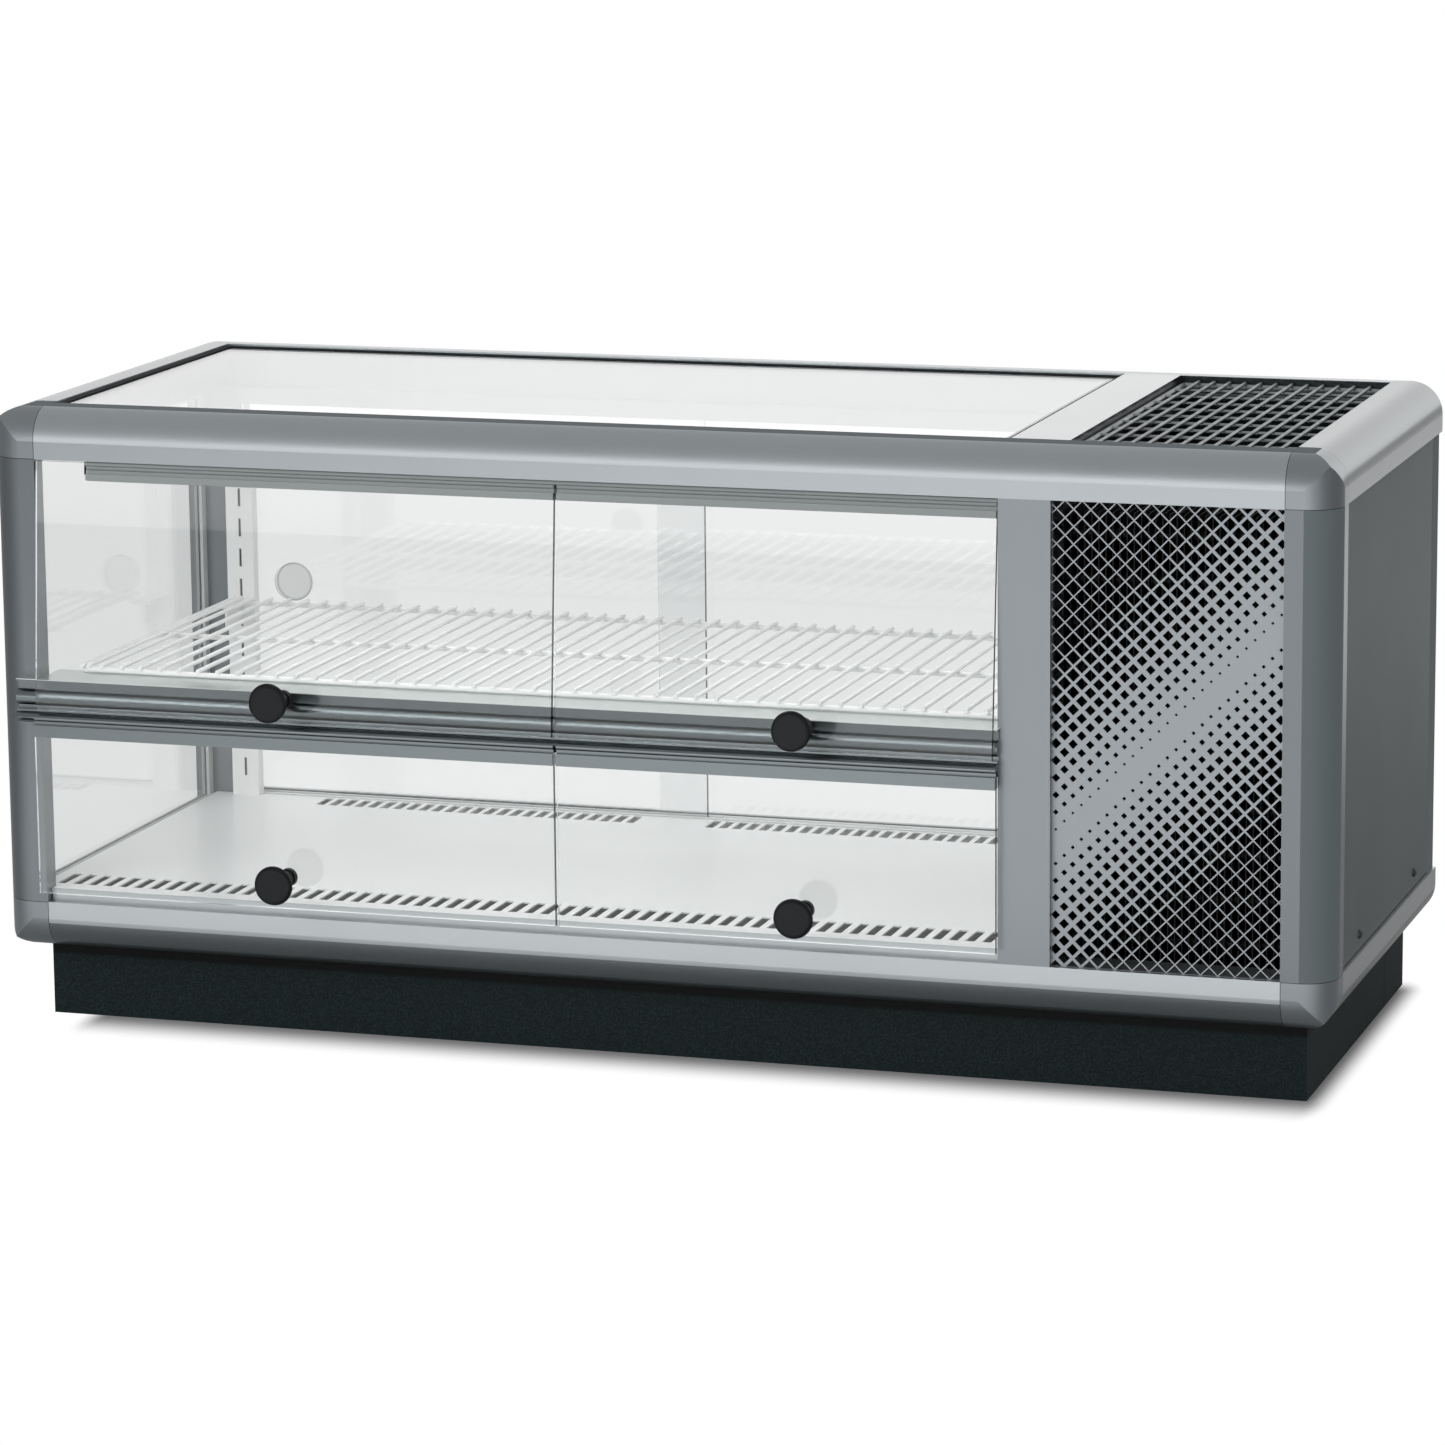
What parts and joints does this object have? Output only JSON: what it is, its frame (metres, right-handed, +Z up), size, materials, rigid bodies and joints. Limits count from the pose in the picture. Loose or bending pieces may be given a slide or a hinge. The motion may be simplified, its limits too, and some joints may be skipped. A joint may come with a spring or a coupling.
{
  "type": "counter-top refrigerated display case",
  "caption": "Counter-top refrigerated display case with lift-up glass flaps, wire shelf, sliding rear doors and a grilled machine end.",
  "frame": {"origin": "centre of the bounding box at the counter surface", "axes": "+X along the front towards the machine end, +Y towards the back, +Z up"},
  "size_m": [1.25, 0.5376, 0.575],
  "materials": {
    "frame": "satin grey anodised",
    "trim": "polished extrusion",
    "plinth": "near-black textured paint",
    "panel": "dark grey paint",
    "grille": "light grey perforated sheet",
    "wire": "bright plated wire",
    "white": "gloss white paint",
    "insulation": "white lined foam",
    "glass": "clear toughened glass",
    "rubber": "black gasket",
    "knob": "black moulded",
    "tube": "white lamp",
    "steel": "plain sheet and fins",
    "black": "black machine paint",
    "black_plastic": "black moulded",
    "copper": "bare copper tube"
  },
  "bodies": {
    "case": {"front_top_rail": "frame", "front_bottom_rail": "frame", "left_top_rail": "frame", "right_top_rail": "frame", "side_bottom_rails": "frame", "left_front_post": "frame", "right_front_post": "frame", "corner_castings": "frame", "rear_top_rail": "frame", "rear_bottom_rail": "frame", "rear_posts": "frame", "divider": "frame", "plinth_front": "plinth", "plinth_rear": "plinth", "base_well": "insulation", "machine_tray": "steel", "front_grille": "grille", "top_grid": "wire", "top_plate": "frame", "top_glass": "glass", "left_end_glass": "glass", "glazing_gaskets": "rubber", "right_side_panel": "panel", "rear_louvre_panel": "frame", "partition": "insulation", "upper_hinge_strip": "frame", "mid_rail": "trim", "light_housing": "frame", "light_tube": "tube", "shelf_supports": "white", "deck": "white", "evaporator": "frame", "evaporator_fan_frame": "black_plastic", "condenser": "frame", "condenser_shroud": "black", "condenser_fan_motor": "steel", "compressor": "black", "refrigerant_lines": "copper", "control_box": "black_plastic", "cable_gland": "black_plastic"},
    "upper_left_flap": {"upper_left_glass": "glass", "upper_left_hinge": "frame", "upper_left_knob": "knob"},
    "upper_right_flap": {"upper_right_glass": "glass", "upper_right_hinge": "frame", "upper_right_knob": "knob"},
    "lower_left_flap": {"lower_left_glass": "glass", "lower_left_hinge": "trim", "lower_left_knob": "knob"},
    "lower_right_flap": {"lower_right_glass": "glass", "lower_right_hinge": "trim", "lower_right_knob": "knob"},
    "left_sliding_door": {"rear_door_left": "glass"},
    "right_sliding_door": {"rear_door_right": "glass"},
    "shelf": {"wire_shelf": "white"},
    "condenser_fan_wheel": {"condenser_fan": "black_plastic"},
    "evaporator_fan_wheel": {"evaporator_fan": "black_plastic"},
    "switch_rocker": {"rocker_switch": "black_plastic"},
    "dial": {"thermostat_dial": "knob"}
  },
  "joints": [
    {"name": "upper_left_flap_hinge", "type": "hinge", "parent": "case", "child": "upper_left_flap", "pos_m": [-0.32775, -0.20715, 0.5235], "axis": [-1, 0, 0], "range_deg": [0, 80]},
    {"name": "upper_right_flap_hinge", "type": "hinge", "parent": "case", "child": "upper_right_flap", "pos_m": [0.12425, -0.20715, 0.5235], "axis": [-1, 0, 0], "range_deg": [0, 80]},
    {"name": "lower_left_flap_hinge", "type": "hinge", "parent": "case", "child": "lower_left_flap", "pos_m": [-0.32775, -0.22015, 0.291], "axis": [-1, 0, 0], "range_deg": [0, 80]},
    {"name": "lower_right_flap_hinge", "type": "hinge", "parent": "case", "child": "lower_right_flap", "pos_m": [0.12425, -0.22015, 0.291], "axis": [-1, 0, 0], "range_deg": [0, 80]},
    {"name": "left_door_slide", "type": "slide", "parent": "case", "child": "left_sliding_door", "axis": [1, 0, 0], "range_m": [0, 0.425]},
    {"name": "right_door_slide", "type": "slide", "parent": "case", "child": "right_sliding_door", "axis": [-1, 0, 0], "range_m": [0, 0.425]},
    {"name": "shelf_lift", "type": "slide", "parent": "case", "child": "shelf", "axis": [0, 0, 1], "range_m": [0, 0.06]},
    {"name": "condenser_fan_spin", "type": "hinge", "parent": "case", "child": "condenser_fan_wheel", "pos_m": [0.4705, -0.08915, 0.262], "axis": [0, 1, 0], "continuous": true},
    {"name": "evaporator_fan_spin", "type": "hinge", "parent": "case", "child": "evaporator_fan_wheel", "pos_m": [-0.1085, 0.07285, 0.066], "axis": [0, 1, 0], "continuous": true},
    {"name": "switch_tilt", "type": "hinge", "parent": "case", "child": "switch_rocker", "pos_m": [0.432, 0.24885, 0.176], "axis": [1, 0, 0], "range_deg": [-8, 8]},
    {"name": "dial_turn", "type": "hinge", "parent": "case", "child": "dial", "pos_m": [0.482, 0.26085, 0.176], "axis": [0, 1, 0], "range_deg": [0, 270]}
  ]
}
